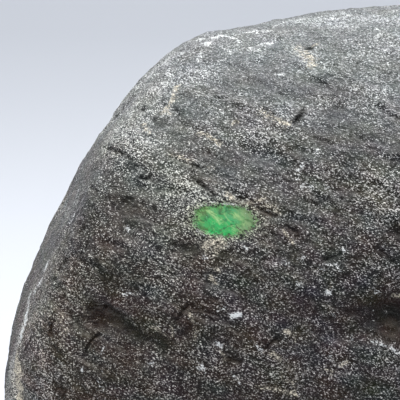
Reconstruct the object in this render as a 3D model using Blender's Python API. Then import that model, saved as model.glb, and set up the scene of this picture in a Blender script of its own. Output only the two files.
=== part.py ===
"""Raw jade boulder: one river-worn stone under a dark rind, with one small ground window of green jade.

Metres, +Z up. The origin is the centre of the boulder's footprint box, on the worn flat that the stone rests on.
The face with the window looks along -Y. Directions are given as an azimuth, in degrees anticlockwise from +X
seen from above, and an elevation above the horizon, both as seen from the stone's core.
"""

import math

import bmesh
import bpy
from mathutils import Matrix, Vector, noise

# The rounded block
CORE_HEIGHT = 0.110  # of the core above the worn flat
GRID = 64  # squares along each side of the cube that is blown up into the stone
KEPT_FACES = 0.185  # share of the triangles kept where the fine mesh is thinned
ROUNDNESS = 16.0  # power of the soft intersection: the higher, the tighter the rounded edges

# The old fracture planes that the river rounded: azimuth, elevation, distance from the core
PLANES = {
    "window face": (-94, 3, 0.096),
    "brow over the window": (-98, 24, 0.109),
    "shoulder": (-98, 46, 0.121),
    "front of the top": (-96, 68, 0.1265),
    "face below the window": (-88, -34, 0.101),
    "left front corner": (-140, 4, 0.153),
    "upper left corner": (-140, 42, 0.156),
    "left end": (180, 10, 0.152),
    "left slope": (180, 34, 0.1430),
    "lower left end": (180, -30, 0.150),
    "top": (176, 84, 0.1296),
    "right shoulder": (-6, 46, 0.142),
    "right end": (4, 6, 0.148),
    "right corner": (-46, -2, 0.146),
    "lower right end": (12, -36, 0.134),
    "back": (84, 8, 0.103),
    "upper back": (100, 44, 0.123),
    "lower back": (80, -36, 0.108),
    "back left corner": (138, -2, 0.148),
    "back right corner": (40, 14, 0.145),
    "underside": (0, -90, 0.116),
    "keel at the front": (-92, -64, 0.1200),
    "keel at the back": (86, -62, 0.1225),
    "keel at the left": (184, -62, 0.1330),
    "keel at the right": (-4, -64, 0.1310),
}

# Broad swells left by the water: size of a swell, height
SWELLS = ((0.070, 0.0032), (0.030, 0.0011), (0.014, 0.0004))

# Hollows and lumps: azimuth, elevation, length, width, turn of the length from level, height
RELIEF = {
    "left hollow": (-144, 14.5, 0.013, 0.006, -12, -0.0028),
    "right hollow": (-101, 23, 0.017, 0.006, 4, -0.0034),
    "trough over the window": (-132, 42, 0.022, 0.008, -6, -0.0010),
    "ridge above the trough": (-138, 51, 0.026, 0.008, -4, 0.0008),
    "saddle on the top edge": (174, 60, 0.050, 0.009, 0, -0.0014),
    "dent under the top corner": (168, 42, 0.035, 0.010, 0, -0.0016),
    "dent in the left slope": (175, 22, 0.034, 0.013, 0, -0.0018),
    "hollow low on the front": (-70, -14, 0.030, 0.014, 24, -0.0030),
    "lump low on the left": (-128, -24, 0.034, 0.016, -30, 0.0026),
    "lump on the right corner": (-38, 16, 0.030, 0.018, 60, 0.0028),
    "hollow at the right end": (10, 24, 0.030, 0.018, 70, -0.0040),
    "hollow at the back": (70, 20, 0.040, 0.022, 30, -0.0045),
    "lump at the back": (110, -6, 0.045, 0.020, -60, 0.0030),
    "hollow under the left end": (188, -20, 0.030, 0.016, 15, -0.0035),
    "swell on the top": (20, 70, 0.040, 0.026, 20, 0.0022),
}

# Ledges, one side sunk below the other: azimuth, elevation, length, reach of the sunk side, turn, drop
LEDGES = {
    "under the left hollow": (-141, 13.5, 0.019, 0.012, -14, 0.0022),
    "over the low right facet": (-103, 16, 0.024, 0.010, 164, 0.0018),
    "upper left": (-153, 34.5, 0.013, 0.009, -18, 0.0013),
    "right of the front": (-62, 26, 0.034, 0.018, -38, 0.0024),
    "low across the front": (-96, -18, 0.052, 0.022, -7, 0.0026),
    "across the back": (92, 18, 0.070, 0.030, 24, 0.0032),
    "low on the back": (62, -22, 0.040, 0.020, 150, 0.0026),
    "over the right end": (-6, 30, 0.050, 0.024, -50, 0.0026),
    "across the left end": (176, -4, 0.036, 0.018, 12, 0.0020),
    "over the top": (70, 66, 0.048, 0.020, 40, 0.0020),
}
LEDGE_EDGE = 0.0018  # half the width over which a ledge drops
LEDGE_WANDER = (0.022, 0.006)  # size and reach of the bends in a ledge's line

# The ground window
WINDOW_DIRECTION = (-133.8, 31.6)
WINDOW_LENGTH = 0.0217
WINDOW_WIDTH = 0.0114
WINDOW_TURN = 10  # of its length from level, degrees
WINDOW_DEPTH = 0.0007
WINDOW_BEVEL = 0.0012  # the ground rim slopes in by this much
CUTTER_RISE = 0.004  # how far the grinding cutter stands out of the stone
WINDOW_SIDES = 44

RIND_COLOUR = (0.055, 0.056, 0.055, 1.0)
RIND_ROUGHNESS = 0.62
JADE_COLOUR = (0.060, 0.390, 0.130, 1.0)
JADE_ROUGHNESS = 0.22


def direction(azimuth, elevation):
    """Unit vector of a direction given in degrees."""
    az, el = math.radians(azimuth), math.radians(elevation)
    return Vector((math.cos(el) * math.cos(az), math.cos(el) * math.sin(az), math.sin(el)))


def tangents(outward, turn):
    """The level tangent of a direction and the one above it, both turned by some degrees."""
    level = Vector((0, 0, 1)).cross(outward).normalized()
    rise = outward.cross(level)
    angle = math.radians(turn)
    along = math.cos(angle) * level + math.sin(angle) * rise
    return along, outward.cross(along)


def block_radius(ray):
    """Distance from the core to the rounded block: a soft intersection of the fracture planes."""
    total = 0.0
    for azimuth, elevation, distance in PLANES.values():
        facing = direction(azimuth, elevation).dot(ray)
        if facing > 0:
            total += (facing / distance) ** ROUNDNESS
    return total ** (-1 / ROUNDNESS)


def swell_height(point):
    """Height of the water-worn swells at a point of the block."""
    return sum(height * noise.noise(point / size) for size, height in SWELLS)


def relief_height(point):
    """Height of the named hollows, lumps and ledges at a point of the block."""
    height = 0.0
    for azimuth, elevation, length, width, turn, rise in RELIEF.values():
        outward = direction(azimuth, elevation)
        along, across = tangents(outward, turn)
        if point.dot(outward) > 0:
            distance = (point.dot(along) / length) ** 2 + (point.dot(across) / width) ** 2
            height += rise * math.exp(-distance)
    for azimuth, elevation, length, reach, turn, drop in LEDGES.values():
        outward = direction(azimuth, elevation)
        along, across = tangents(outward, turn)
        if point.dot(outward) > 0:
            bend_size, bend_reach = LEDGE_WANDER
            off = point.dot(across) + bend_reach * noise.noise(point / bend_size)
            sunk = (1 - math.tanh(off / LEDGE_EDGE)) / 2
            fade = math.exp(-((point.dot(along) / length) ** 2) - (off / reach) ** 2)
            height -= drop * sunk * fade
    return height


def surface_point(ray):
    """Where a ray from the core meets the stone's surface, measured from the core."""
    point = ray * block_radius(ray)
    return ray * (point.length + swell_height(point) + relief_height(point))


def material(name, colour, roughness):
    """A plain non-metallic material."""
    made = bpy.data.materials.new(name)
    made.use_nodes = True
    shader = made.node_tree.nodes["Principled BSDF"]
    shader.inputs["Base Color"].default_value = colour
    shader.inputs["Roughness"].default_value = roughness
    shader.inputs["Metallic"].default_value = 0.0
    return made


def add_object(name, mesh, collection):
    """Links a new object that holds this bmesh."""
    data = bpy.data.meshes.new(name)
    mesh.to_mesh(data)
    mesh.free()
    made = bpy.data.objects.new(name, data)
    collection.objects.link(made)
    return made


def blown_mesh():
    """A cube's fine grid blown up to the stone's surface."""
    mesh = bmesh.new()
    bmesh.ops.create_cube(mesh, size=2.0)
    bmesh.ops.subdivide_edges(mesh, edges=mesh.edges[:], cuts=GRID - 1, use_grid_fill=True)
    for vertex in mesh.verts:
        even = Vector(math.tan(side * math.pi / 4) for side in vertex.co)  # evens out the squares on the sphere
        vertex.co = surface_point(even.normalized())
    return mesh


def thinned_mesh(mesh):
    """The same surface with fewer faces: large ones where it is even, small ones along ledges and hollows."""
    fine = add_object("fine stone", mesh, bpy.context.scene.collection)
    thin = fine.modifiers.new("fewer faces", "DECIMATE")
    thin.ratio = KEPT_FACES
    kept = bmesh.new()
    kept.from_object(fine, bpy.context.evaluated_depsgraph_get())
    bpy.data.objects.remove(fine, do_unlink=True)
    return kept


def stone_mesh():
    """The blown-up stone with its faces thinned, cut off level at its worn flat."""
    mesh = thinned_mesh(blown_mesh())
    everything = mesh.verts[:] + mesh.edges[:] + mesh.faces[:]
    worn_flat = Vector((0, 0, -CORE_HEIGHT))
    cut = bmesh.ops.bisect_plane(
        mesh, geom=everything, plane_co=worn_flat, plane_no=(0, 0, -1), clear_outer=True, dist=1e-6
    )
    rim = [item for item in cut["geom_cut"] if isinstance(item, bmesh.types.BMEdge)]
    bmesh.ops.contextual_create(mesh, geom=rim)
    bmesh.ops.recalc_face_normals(mesh, faces=mesh.faces[:])
    return mesh


def footprint_centre(mesh):
    """Centre of the stone's box, on its worn flat, measured from the core."""
    xs = [vertex.co.x for vertex in mesh.verts]
    ys = [vertex.co.y for vertex in mesh.verts]
    return Vector(((min(xs) + max(xs)) / 2, (min(ys) + max(ys)) / 2, -CORE_HEIGHT))


def window_cutter_mesh():
    """The ground window's shape: a low oval cone, its small end the window's floor, its wide end outside the stone."""
    outward = direction(*WINDOW_DIRECTION)
    along, across = tangents(outward, WINDOW_TURN)
    slope = WINDOW_BEVEL / WINDOW_DEPTH
    floor_length = WINDOW_LENGTH - 2 * WINDOW_BEVEL
    outer_length = WINDOW_LENGTH + 2 * slope * CUTTER_RISE
    squash = WINDOW_WIDTH / WINDOW_LENGTH
    mesh = bmesh.new()
    bmesh.ops.create_cone(
        mesh,
        cap_ends=True,
        segments=WINDOW_SIDES,
        radius1=floor_length / 2,
        radius2=outer_length / 2,
        depth=WINDOW_DEPTH + CUTTER_RISE,
    )
    normal = window_normal()
    along = (along - along.dot(normal) * normal).normalized()
    across = normal.cross(along)
    axes = Matrix((along, across * squash, normal)).transposed().to_4x4()
    centre = surface_point(outward) + normal * (CUTTER_RISE - WINDOW_DEPTH) / 2
    bmesh.ops.transform(mesh, matrix=Matrix.Translation(centre) @ axes, verts=mesh.verts[:])
    return mesh


def window_normal():
    """Outward normal of the stone where the window is, taken over the window's own length."""
    outward = direction(*WINDOW_DIRECTION)
    along, across = tangents(outward, WINDOW_TURN)
    reach = WINDOW_LENGTH / 2 / surface_point(outward).length
    ends = [surface_point((outward + side * reach * along).normalized()) for side in (-1, 1)]
    sides = [surface_point((outward + side * reach * across).normalized()) for side in (-1, 1)]
    return (ends[1] - ends[0]).cross(sides[1] - sides[0]).normalized()


def main():
    for old in bpy.data.objects[:]:
        bpy.data.objects.remove(old, do_unlink=True)
    parts = bpy.data.collections.new("Raw jade boulder")
    cutters = bpy.data.collections.new("Cutters")
    for collection in (parts, cutters):
        bpy.context.scene.collection.children.link(collection)
    rind = material("dark rind", RIND_COLOUR, RIND_ROUGHNESS)
    jade = material("green jade", JADE_COLOUR, JADE_ROUGHNESS)

    stone = stone_mesh()
    to_origin = Matrix.Translation(-footprint_centre(stone))
    bmesh.ops.transform(stone, matrix=to_origin, verts=stone.verts[:])
    boulder = add_object("boulder", stone, parts)
    boulder.data.materials.append(rind)
    boulder.data.shade_smooth()

    grinder = window_cutter_mesh()
    bmesh.ops.transform(grinder, matrix=to_origin, verts=grinder.verts[:])
    cutter = add_object("window_cutter", grinder, cutters)
    cutter.data.materials.append(jade)
    cutter.hide_render = True
    cutter.display_type = "WIRE"

    ground = boulder.modifiers.new("ground window", "BOOLEAN")
    ground.operation = "DIFFERENCE"
    ground.object = cutter
    ground.material_mode = "TRANSFER"


main()
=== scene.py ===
import math
import random
import bpy
import numpy as np
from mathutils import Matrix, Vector, bvhtree, noise


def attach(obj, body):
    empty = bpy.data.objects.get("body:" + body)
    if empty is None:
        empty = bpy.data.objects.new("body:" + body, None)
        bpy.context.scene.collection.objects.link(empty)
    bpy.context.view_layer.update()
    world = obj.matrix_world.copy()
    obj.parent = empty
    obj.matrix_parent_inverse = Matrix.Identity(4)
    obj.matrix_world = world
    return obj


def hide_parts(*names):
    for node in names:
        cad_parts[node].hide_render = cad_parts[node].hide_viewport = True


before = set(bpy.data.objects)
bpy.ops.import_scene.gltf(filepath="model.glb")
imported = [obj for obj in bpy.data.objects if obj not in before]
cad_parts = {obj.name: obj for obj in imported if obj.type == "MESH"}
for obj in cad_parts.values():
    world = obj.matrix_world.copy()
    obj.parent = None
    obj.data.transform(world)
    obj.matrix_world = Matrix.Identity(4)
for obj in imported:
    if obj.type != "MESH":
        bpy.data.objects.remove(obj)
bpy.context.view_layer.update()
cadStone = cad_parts["boulder"]
random.seed(7)
print("frame loaded: the raw jade boulder")

# the camera, and where a spot of its picture lies on the stone

shot = {
    "aimAt": (-0.0805, 0.0, 0.1677),
    "lookDown": 10.0,  # degrees
    "distance": 0.75,
    "spanAtAim": 0.144,  # width of the picture where the camera aims
    "sensorMm": 36.0,
    "pictureSide": 400,  # pixels
    "clip": (0.05, 30),
    "inwardStep": (0.5, 0.25),  # pixels from just outside the outline towards the stone
    "inwardSteps": 60,
}
tilt = math.radians(shot["lookDown"])
shotForward = Vector((0, math.cos(tilt), -math.sin(tilt)))
shotUp = Vector((0, math.sin(tilt), math.cos(tilt)))
shotRight = Vector((1, 0, 0))
shotPlace = Vector(shot["aimAt"]) - shotForward * shot["distance"]


def addCamera():
    bpy.ops.object.camera_add(location=shotPlace, rotation=(math.pi / 2 - tilt, 0, 0))
    camera = bpy.context.object
    camera.name = "shotCamera"
    camera.data.sensor_width = shot["sensorMm"]
    camera.data.lens = shot["sensorMm"] * shot["distance"] / shot["spanAtAim"]
    camera.data.clip_start, camera.data.clip_end = shot["clip"]
    bpy.context.scene.camera = camera


def rayThrough(px, py):
    scale = shot["spanAtAim"] / shot["distance"]
    aside = ((px + 0.5) / shot["pictureSide"] - 0.5) * scale
    above = (0.5 - (py + 0.5) / shot["pictureSide"]) * scale
    return (shotForward + aside * shotRight + above * shotUp).normalized()


def treeOf(piece):
    corners = [vertex.co for vertex in piece.data.vertices]
    return bvhtree.BVHTree.FromPolygons(corners, [face.vertices for face in piece.data.polygons])


cadTree = treeOf(cadStone)


def onStone(px, py, tree=cadTree):  # the spot of the stone that shows at a pixel, or just inside its outline
    acrossStep, downStep = shot["inwardStep"]
    for step in range(shot["inwardSteps"]):
        hit, normal = tree.ray_cast(shotPlace, rayThrough(px + step * acrossStep, py + step * downStep))[:2]
        if hit:
            return hit, normal
    return Vector((0, 0, 0.1)), Vector((0, 0, 1))


def pictureSpots(points):  # the pixels at which points show
    away = points - np.array(shotPlace)
    depth = away @ np.array(shotForward)
    scale = shot["pictureSide"] * shot["distance"] / shot["spanAtAim"]
    half = shot["pictureSide"] / 2
    px = half + scale * (away @ np.array(shotRight)) / depth
    py = half - scale * (away @ np.array(shotUp)) / depth
    return px, py


addCamera()
print("camera placed")

# the ground window's place, read off the cad stone

groundWindow = {
    "tips": ((194, 219), (255, 221)),  # pixels
    "middle": (224.0, 220.4),
    "length": 0.0206,
    "width": 0.0114,
    "lean": -0.06,  # by how much its top lies further to the right, in half lengths
    "depth": 0.0003,
    "bevel": 0.24,  # share of the oval that slopes
    "chips": 0.10,  # share by which the rim is ragged
    "fullness": 2.5,  # 2 for an oval, more for one that fills its corners
    "chipSize": 0.0028,
    "lift": 0.0007,  # from the floor of the cad window back up to the stone's own skin
    "closedTo": (1.12, 0.004),  # how far round it the cad faces are closed, and how far above and below it
    "fineTo": (1.3, 0.004),  # and the skin made fine
    "groundTo": (1.5, 0.005),  # and the skin ground
}
windowCentre, windowOut = onStone(*groundWindow["middle"])
leftTip = onStone(*groundWindow["tips"][0])[0]
rightTip = onStone(*groundWindow["tips"][1])[0]
windowAlong = rightTip - leftTip
windowAlong = (windowAlong - windowAlong.dot(windowOut) * windowOut).normalized()
windowAcross = windowOut.cross(windowAlong)
windowCentre = windowCentre + windowOut * groundWindow["lift"]


def windowOval(points):  # 0 at the middle of the window, 1 at its rim
    away = points - np.array(windowCentre)
    across = away @ np.array(windowAcross) / (groundWindow["width"] / 2)
    along = away @ np.array(windowAlong) / (groundWindow["length"] / 2) - groundWindow["lean"] * across
    power = groundWindow["fullness"]
    return (abs(along) ** power + abs(across) ** power) ** (1 / power), away @ np.array(windowOut)


def roundWindow(points, zone):  # which points lie within a zone of the window
    oval, rise = windowOval(points)
    return (oval < groundWindow[zone][0]) & (abs(rise) < groundWindow[zone][1])


# helpers for a mesh's points

def readVectors(things, field):
    flat = np.empty(len(things) * 3)
    things.foreach_get(field, flat)
    return flat.reshape(-1, 3)


def readPoints(piece):
    return readVectors(piece.data.vertices, "co")


def readNormals(piece):
    return readVectors(piece.data.vertex_normals, "vector")


def faceCentres(piece):
    return readVectors(piece.data.polygons, "center")


def faceNormals(piece):
    return readVectors(piece.data.polygons, "normal")


def writePoints(piece, points):
    piece.data.vertices.foreach_set("co", points.ravel())
    piece.data.update()


def writeLayer(piece, name, values):
    piece.data.attributes.new(name, "FLOAT", "POINT").data.foreach_set("value", values)


def useAlone(piece):
    bpy.ops.object.select_all(action="DESELECT")
    piece.select_set(True)
    bpy.context.view_layer.objects.active = piece


def applyModifier(piece, name, kind, **settings):
    useAlone(piece)
    modifier = piece.modifiers.new(name, kind)
    for setting, value in settings.items():
        setattr(modifier, setting, value)
    bpy.ops.object.modifier_apply(modifier=modifier.name)


def pickFaces(piece, wanted):  # wanted says for each face whether it is selected
    bpy.ops.object.mode_set(mode="OBJECT")
    piece.data.vertices.foreach_set("select", np.zeros(len(piece.data.vertices), bool))
    piece.data.edges.foreach_set("select", np.zeros(len(piece.data.edges), bool))
    piece.data.polygons.foreach_set("select", wanted)
    bpy.ops.object.mode_set(mode="EDIT")
    bpy.ops.mesh.select_mode(type="FACE")


def fineNoise(points, size):  # about -1 to 1
    return np.array([noise.noise(p) for p in (points / size).tolist()])


# lines of marks on the skin: the seen ones are lines of pixels, the rest wander over the unseen sides

unseen = {
    "beyond": 20,  # pixels outside the picture
    "turned": -0.03,  # how far the skin turns away where it counts as unseen
    "from": (0, 0, 0.11),  # the middle of the stone, which the spots are cast from
    "lowest": 0.012,
    "step": 0.0012,
    "bend": 0.22,
}


def alongPixels(pixels, tree):  # points of the stone along a line of pixels
    path = []
    for a, b in zip(pixels, pixels[1:]):
        count = max(1, round(math.dist(a, b)))
        for i in range(count):
            px = a[0] + (b[0] - a[0]) * i / count
            py = a[1] + (b[1] - a[1]) * i / count
            path.append(onStone(px, py, tree)[0])
    return np.array(path + [onStone(*pixels[-1], tree)[0]])


def unseenSpot():  # a random spot of the stone outside the picture
    low, high = -unseen["beyond"], shot["pictureSide"] + unseen["beyond"]
    while True:
        away = Vector((random.gauss(0, 1), random.gauss(0, 1), random.gauss(0, 1))).normalized()
        spot, normal = cadTree.ray_cast(Vector(unseen["from"]), away)[:2]
        px, py = pictureSpots(np.array([spot]))
        inside = low < px[0] < high and low < py[0] < high
        if spot.z > unseen["lowest"] and not (inside and normal.dot(shotPlace - spot) > unseen["turned"]):
            return spot, normal


def wanderPath(length):  # a bending line of points over the unseen skin
    spot, normal = unseenSpot()
    heading = normal.orthogonal().normalized()
    path = [spot]
    for turn in range(int(length / unseen["step"])):
        bend = random.gauss(0, unseen["bend"])
        side = normal.cross(heading)
        heading = (heading * math.cos(bend) + side * math.sin(bend)).normalized()
        spot, normal = cadTree.find_nearest(path[-1] + heading * unseen["step"])[:2]
        heading = (heading - heading.dot(normal) * normal).normalized()
        path.append(spot)
    return np.array(path)


def nearPath(points, path, reach):  # gap to the path and share along it, for the points within reach
    low, high = path.min(0) - reach, path.max(0) + reach
    near = np.where(((points > low) & (points < high)).all(1))[0]
    if not len(near):
        return near, np.empty(0), np.empty(0)
    apart = np.linalg.norm(points[near][:, None] - path[None], axis=2)
    gap = apart.min(1)
    share = apart.argmin(1) / max(1, len(path) - 1)
    within = gap < reach
    return near[within], gap[within], share[within]


# rows of marks: width in tenths of a millimetre, strength, then the pixels of the mark's line, x before y;
# the strength of a crack or dent is its depth in tenths of a millimetre, and with a minus a dent is a lump
seenMarks = {
    "crack": [
        (10, 15, 57, 271, 62, 262, 67, 257, 73, 253, 84, 251, 88, 241),
        (11, 15, 104, 146, 112, 149, 118, 152, 124, 154, 132, 160), (13, 10, 136, 176, 144, 178, 151, 177),
        (10, 14, 99, 334, 93, 338, 88, 345, 84, 352), (8, 8, 30, 339, 27, 344, 24, 350),
        (14, 18, 90, 308, 98, 305, 108, 307, 118, 314), (5, 6, 235, 226, 240, 230, 245, 234, 251, 236),
        (9, 9, 258, 208, 266, 212, 275, 215), (13, 18, 294, 123, 298, 118, 302, 113, 302, 108),
        (12, 14, 306, 49, 311, 48), (5, 3, 322, 297, 326, 301, 330, 304), (10, 8, 216, 97, 224, 98, 230, 97),
        (12, 14, 188, 304, 182, 310, 176, 319), (13, 8, 188, 305, 200, 309, 210, 314, 221, 316),
        (9, 9, 262, 349, 270, 343, 279, 337), (11, 11, 225, 358, 232, 360, 240, 360),
        (8, 9, 375, 246, 384, 253, 393, 261), (10, 9, 324, 259, 331, 257, 338, 255),
        (9, 8, 321, 317, 331, 318), (10, 9, 89, 187, 98, 192), (9, 8, 93, 163, 97, 157),
        (11, 12, 50, 324, 51, 334), (9, 8, 53, 345, 58, 353), (10, 8, 94, 258, 97, 268, 103, 280),
        (10, 5, 131, 264, 137, 272, 142, 282), (10, 11, 288, 225, 293, 229, 297, 234),
        (9, 5, 326, 63, 333, 64, 339, 66), (10, 8, 180, 160, 192, 164, 206, 169),
        (11, 9, 194, 178, 203, 186, 214, 195), (8, 8, 373, 344, 385, 349, 400, 357),
    ],
    "dent": [
        (40, 16, 94, 312, 104, 314, 113, 318), (24, 8, 97, 324, 104, 325),
        (30, 10, 122, 324, 140, 332, 166, 341), (34, 14, 184, 246, 197, 247),
        (60, 18, 378, 314, 390, 312, 402, 312), (26, 12, 397, 230, 401, 232),
        (44, 11, 118, 200, 126, 204, 133, 208), (20, 8, 132, 165, 137, 168), (18, 8, 140, 187, 143, 190),
        (14, 8, 240, 197, 243, 198), (22, 7, 156, 119, 160, 125), (14, 6, 142, 109, 144, 110),
        (18, 8, 185, 330, 190, 326), (60, 7, 85, 215, 92, 232), (40, 6, 210, 150, 222, 158),
        (36, 5, 320, 84, 336, 88), (60, 6, 330, 180, 345, 190), (40, 6, 255, 155, 262, 150),
        (36, 6, 330, 113, 342, 112), (50, 6, 300, 212, 330, 208), (40, 6, 262, 372, 276, 366),
        (34, 6, 205, 336, 218, 334), (30, 8, 350, 312, 364, 306), (28, 8, 57, 386, 62, 392),
        (40, -7, 158, 168, 180, 184, 204, 198), (50, -6, 125, 132, 150, 150), (32, -4, 208, 246, 219, 246),
        (18, -5, 234, 315, 238, 316), (34, -9, 58, 328, 62, 338), (20, -4, 248, 203, 262, 199),
        (24, -4, 166, 96, 164, 112), (80, -8, 120, 245, 150, 262), (40, -5, 302, 52, 310, 58),
        (40, -5, 268, 114, 284, 122), (40, -5, 330, 300, 352, 290), (30, -5, 210, 322, 222, 324),
        (14, -4, 258, 385, 278, 390, 296, 394), (130, -26, 184, 45, 204, 41, 222, 35, 236, 30),
        (120, 19, 120, 105, 113, 115, 109, 121), (240, 18, 120, 100, 106, 118, 100, 128),
        (110, -15, 134, 88, 143, 78), (80, -12, 346, 13, 366, 10), (110, 9, 244, 26, 258, 22, 272, 18),
        (120, 9, 66, 198, 60, 208, 54, 220),
    ],
    "cream": [
        (14, 0.64, 176, 86, 174, 95, 169, 104, 164, 111), (12, 0.5, 161, 112, 169, 113),
        (26, 0.56, 298, 48, 304, 54, 310, 59, 312, 65), (10, 0.9, 309, 56, 311, 58),
        (8, 0.7, 318, 43, 312, 46), (18, 0.5, 262, 112, 270, 116, 280, 121, 288, 124),
        (7, 1, 279, 121, 286, 124), (7, 1, 283, 230, 288, 237, 293, 244),
        (18, 0.8, 206, 249, 207, 242, 222, 241, 216, 250), (16, 0.3, 214, 252, 218, 262),
        (12, 0.9, 226, 193, 231, 197), (9, 0.7, 248, 203, 256, 200, 264, 198),
        (9, 0.6, 252, 209, 262, 206, 273, 206, 279, 213), (11, 1, 211, 277, 215, 281),
        (9, 0.6, 215, 268, 218, 272), (6, 0.8, 328, 291, 331, 284), (9, 0.9, 393, 295, 400, 296),
        (30, 1.2, 15, 358, 17, 372, 18, 384, 21, 396), (7, 0.8, 151, 326, 158, 329, 164, 333),
        (7, 0.8, 171, 326, 173, 333, 169, 338), (8, 0.9, 189, 311, 192, 321), (8, 0.8, 196, 330, 194, 338),
        (8, 0.9, 258, 385, 270, 388, 283, 391, 296, 394), (7, 0.7, 280, 373, 283, 379, 293, 382, 294, 390),
        (11, 1, 286, 331, 289, 332), (9, 0.6, 294, 332, 294, 340), (12, 0.9, 272, 354, 279, 358),
        (9, 0.6, 62, 313, 62, 319), (14, 0.6, 82, 305, 86, 312), (10, 0.5, 53, 309, 59, 306),
        (12, 0.7, 199, 133, 206, 134, 220, 144), (10, 0.7, 232, 123, 236, 121),
        (12, 0.6, 143, 124, 150, 132), (12, 0.6, 221, 352, 224, 360), (9, 0.8, 341, 365, 347, 361),
        (12, 0.6, 326, 368, 331, 373), (9, 0.4, 210, 178, 222, 186), (10, 0.5, 208, 165, 213, 168),
        (30, 0.4, 40, 352, 44, 362), (20, 0.45, 57, 322, 66, 330, 60, 344), (12, 0.5, 172, 154, 190, 160),
    ],
    "chalk": [
        (10, 1.3, 232, 316, 239, 315), (9, 1.3, 327, 292, 329, 293), (6, 0.62, 217, 311, 224, 307),
        (8, 0.8, 78, 189, 74, 202), (9, 0.6, 74, 214, 70, 222), (16, 0.85, 47, 262, 45, 269),
        (18, 0.85, 41, 280, 38, 284), (18, 0.8, 36, 287, 34, 290), (18, 0.8, 30, 294, 28, 297),
        (16, 0.65, 28, 300, 28, 304), (22, 0.95, 27, 309, 26, 314), (22, 0.95, 25, 318, 25, 322),
        (24, 0.85, 22, 329, 21, 335), (14, 0.6, 20, 338, 20, 341),
        (11, 0.74, 196, 39, 208, 38, 220, 35, 229, 36, 236, 39, 239, 42), (14, 0.74, 204, 42, 208, 44),
        (16, 0.74, 200, 54, 202, 55, 198, 59), (12, 0.55, 224, 48, 231, 53), (9, 0.6, 218, 61, 223, 60),
        (10, 0.62, 176, 53, 182, 53), (9, 0.62, 243, 32, 256, 31, 270, 31),
        (10, 0.58, 273, 27, 280, 23, 288, 20), (14, 0.64, 252, 47, 256, 50), (10, 0.65, 254, 29, 257, 33),
        (18, 0.72, 263, 44, 270, 43), (9, 0.43, 262, 31, 272, 29), (14, 0.58, 144, 78, 150, 75, 157, 74),
        (13, 0.56, 163, 62, 168, 66, 170, 75), (9, 0.36, 152, 82, 150, 92, 160, 84),
        (12, 0.64, 298, 19, 304, 18), (11, 0.72, 318, 18, 334, 18), (11, 0.64, 338, 18, 347, 15),
        (12, 0.5, 344, 25, 352, 27), (14, 0.66, 386, 12, 396, 10), (14, 0.6, 376, 29, 382, 34, 375, 38),
        (12, 0.5, 386, 38, 391, 45, 386, 50), (10, 0.65, 382, 57, 387, 57), (10, 0.36, 387, 62, 386, 71),
        (9, 0.43, 333, 39, 340, 38, 348, 42), (8, 0.43, 332, 47, 336, 46), (10, 0.5, 291, 45, 294, 48),
        (12, 0.7, 278, 75, 283, 73), (11, 0.66, 237, 95, 240, 94), (12, 0.36, 368, 72, 367, 82, 368, 92),
        (12, 0.36, 384, 83, 383, 96), (9, 0.43, 375, 100, 378, 115), (10, 0.43, 302, 102, 307, 106),
        (18, 0.36, 208, 110, 218, 108, 222, 114), (10, 0.43, 260, 127, 266, 129),
        (8, 0.43, 276, 122, 283, 121), (10, 0.77, 315, 150, 316, 154), (10, 0.59, 298, 170, 302, 164),
        (13, 0.59, 301, 187, 311, 185), (10, 0.42, 324, 188, 329, 189), (9, 0.51, 298, 176, 294, 180),
        (8, 0.68, 243, 247, 247, 249), (14, 0.42, 281, 260, 286, 263), (9, 0.51, 299, 258, 306, 256),
        (7, 0.68, 204, 257, 207, 258), (11, 0.59, 126, 227, 129, 229), (10, 0.59, 124, 294, 131, 292),
        (6, 0.9, 80, 369, 82, 371), (5, 0.9, 101, 352, 103, 348), (10, 0.51, 98, 380, 102, 387),
        (7, 0.42, 101, 345, 106, 350), (10, 0.77, 216, 343, 221, 346), (11, 0.68, 198, 364, 203, 369),
        (8, 0.59, 234, 377, 239, 382), (8, 0.59, 256, 345, 262, 351), (9, 0.51, 150, 363, 154, 361),
        (9, 0.68, 320, 266, 321, 270), (8, 0.51, 327, 264, 335, 263, 341, 270),
        (9, 0.59, 298, 283, 302, 286), (9, 0.68, 342, 248, 346, 252), (10, 0.51, 325, 349, 330, 358),
        (10, 0.51, 347, 335, 351, 338), (9, 0.68, 374, 290, 377, 293), (10, 0.42, 331, 311, 335, 315),
        (5, 0.85, 371, 341, 384, 345, 400, 353), (7, 0.3, 303, 330, 320, 335, 332, 342),
        (4, 0.62, 221, 203, 232, 204, 242, 207), (6, 0.45, 200, 205, 208, 203, 214, 202),
        (4, 0.5, 245, 209, 250, 211), (6, 0.59, 196, 230, 204, 235),
    ],
    # soot marks; most lie in the dents and along the cracks as painted shade in them
    "sootAndShade": [
        (36, 0.8, 92, 310, 104, 311, 116, 316), (9, 1.3, 88, 309, 100, 309, 112, 312, 119, 318),
        (20, 0.8, 97, 324, 104, 325), (28, 0.8, 122, 325, 140, 334, 166, 341), (30, 0.7, 352, 310, 368, 306),
        (62, 1, 378, 314, 390, 312, 402, 314), (40, 0.7, 384, 328, 402, 334), (30, 0.9, 396, 228, 402, 233),
        (28, 0.55, 182, 245, 190, 249, 199, 247), (22, 0.5, 186, 258, 194, 254),
        (10, 0.8, 239, 197, 244, 198), (9, 0.9, 258, 208, 266, 212, 275, 215), (14, 0.9, 288, 225, 297, 234),
        (13, 1, 301, 112, 294, 123), (10, 1, 307, 48, 311, 48),
        (10, 1, 107, 148, 113, 150, 121, 153, 130, 158), (22, 0.6, 129, 166, 134, 168),
        (14, 0.8, 138, 177, 150, 177), (15, 0.6, 140, 187, 143, 191),
        (44, 0.55, 116, 198, 126, 203, 134, 209), (60, 0.45, 86, 210, 92, 230, 84, 240),
        (50, 0.35, 110, 170, 124, 186), (22, 0.7, 155, 118, 161, 125), (12, 0.8, 142, 109, 144, 110),
        (26, 0.4, 172, 130, 178, 134), (16, 0.7, 193, 176, 203, 186, 214, 196), (22, 0.6, 96, 260, 104, 280),
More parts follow.
